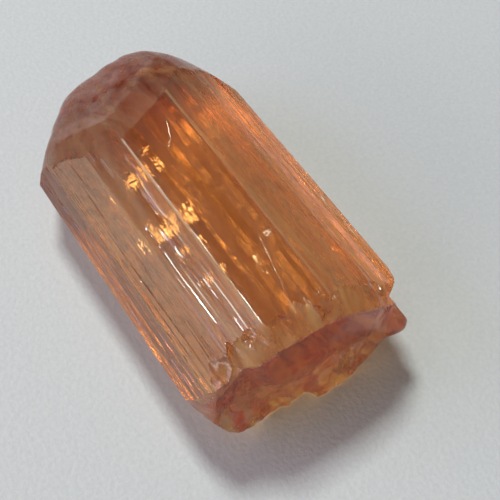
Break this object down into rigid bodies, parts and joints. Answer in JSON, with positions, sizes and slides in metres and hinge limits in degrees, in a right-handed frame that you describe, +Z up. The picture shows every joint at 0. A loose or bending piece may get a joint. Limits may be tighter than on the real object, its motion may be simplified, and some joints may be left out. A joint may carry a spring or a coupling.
{
  "type": "topaz crystal",
  "caption": "Rough orange-brown topaz crystal: a striated prism with a sloping termination and a chipped cleavage break.",
  "frame": {"origin": "on the surface the crystal rests on, under the middle of its length and width", "axes": "+X along the prism to the broken end, +Z up"},
  "size_m": [0.0208, 0.0114, 0.007],
  "materials": {
    "topaz": "clear, with fine lengthwise striae"
  },
  "bodies": {
    "root": {"crystal": "topaz"}
  },
  "joints": []
}
